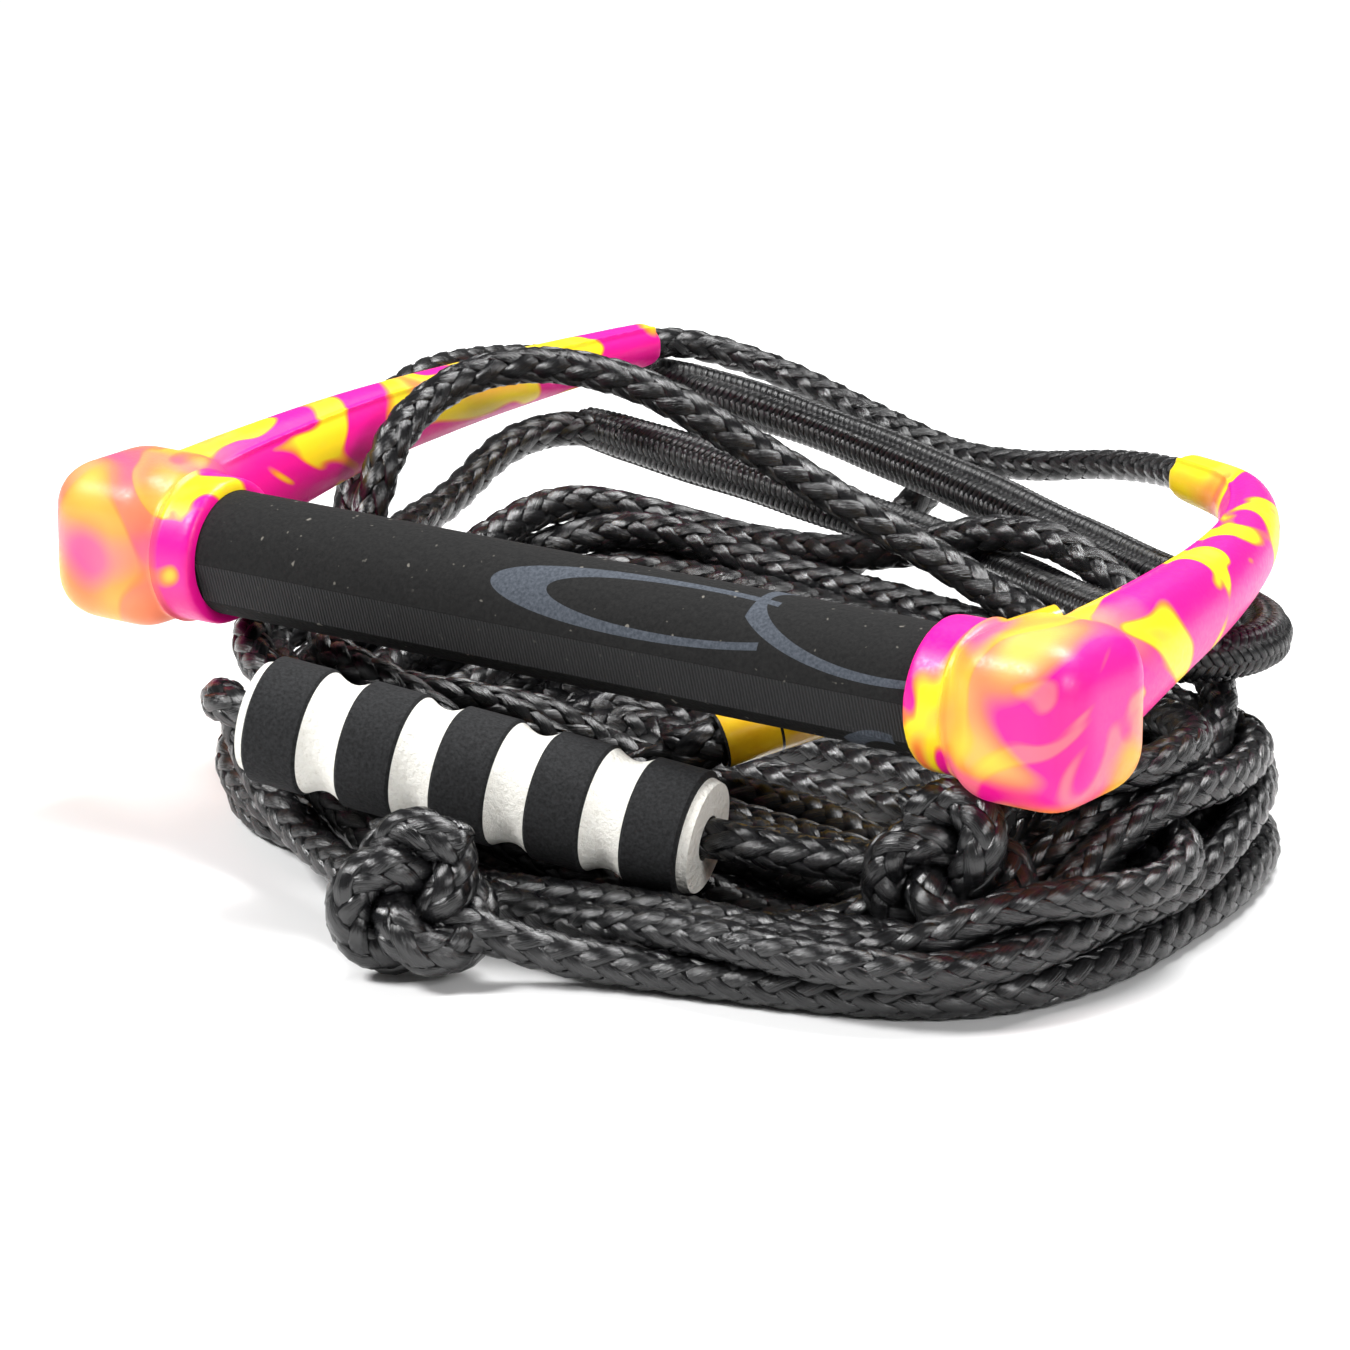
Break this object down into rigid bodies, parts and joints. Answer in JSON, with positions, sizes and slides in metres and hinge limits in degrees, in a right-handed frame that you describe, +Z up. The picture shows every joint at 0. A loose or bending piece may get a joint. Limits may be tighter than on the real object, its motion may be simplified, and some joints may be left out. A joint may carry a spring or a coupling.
{
  "type": "tow rope handle",
  "caption": "Tow rope handle with a foam grip bar, two curved soft arms, a rope bridle, an elastic shock section, a striped foam float and a coiled braided line.",
  "frame": {"origin": "on the floor, under the middle of the object's bounding box", "axes": "+X along the bar from the left cap to the right cap, +Y away from the user, from the bar towards the bridle, +Z up"},
  "size_m": [0.284, 0.3081, 0.0922],
  "materials": {
    "bar_aluminium": "satin",
    "plug_plastic": "matte",
    "grip_foam": "matte, lightly speckled foam",
    "cap_marble": "satin moulded urethane, marbled pink, orange and yellow",
    "rope_black": "glossy hollow braid",
    "shock_black": "bunched braid",
    "elastic_core": "matte",
    "label_yellow": "glossy",
    "float_white": "matte coarse foam",
    "float_black": "matte foam"
  },
  "bodies": {
    "handle_and_line": {"bar_tube": "bar_aluminium", "end_plug_left": "plug_plastic", "end_plug_right": "plug_plastic", "grip_sleeve": "grip_foam", "end_cap_left": "cap_marble", "end_cap_right": "cap_marble", "bridle_tail_left": "rope_black", "bridle_tail_right": "rope_black", "bridle_rope": "rope_black", "shock_sheath": "shock_black", "shock_core": "elastic_core", "top_loop": "rope_black", "float_line": "rope_black", "loop_splice": "rope_black", "label_sleeve": "label_yellow", "knot_one": "rope_black", "knot_two": "rope_black", "line_coil": "rope_black"},
    "float": {"float_core": "float_white", "float_ring_1": "float_black", "float_ring_2": "float_black", "float_ring_3": "float_black", "float_ring_4": "float_black", "float_ring_5": "float_black"}
  },
  "joints": [
    {"name": "float_slide", "type": "slide", "parent": "handle_and_line", "child": "float", "axis": [0.9589, 0.2413, -0.149], "range_m": [0, 0.012]}
  ]
}
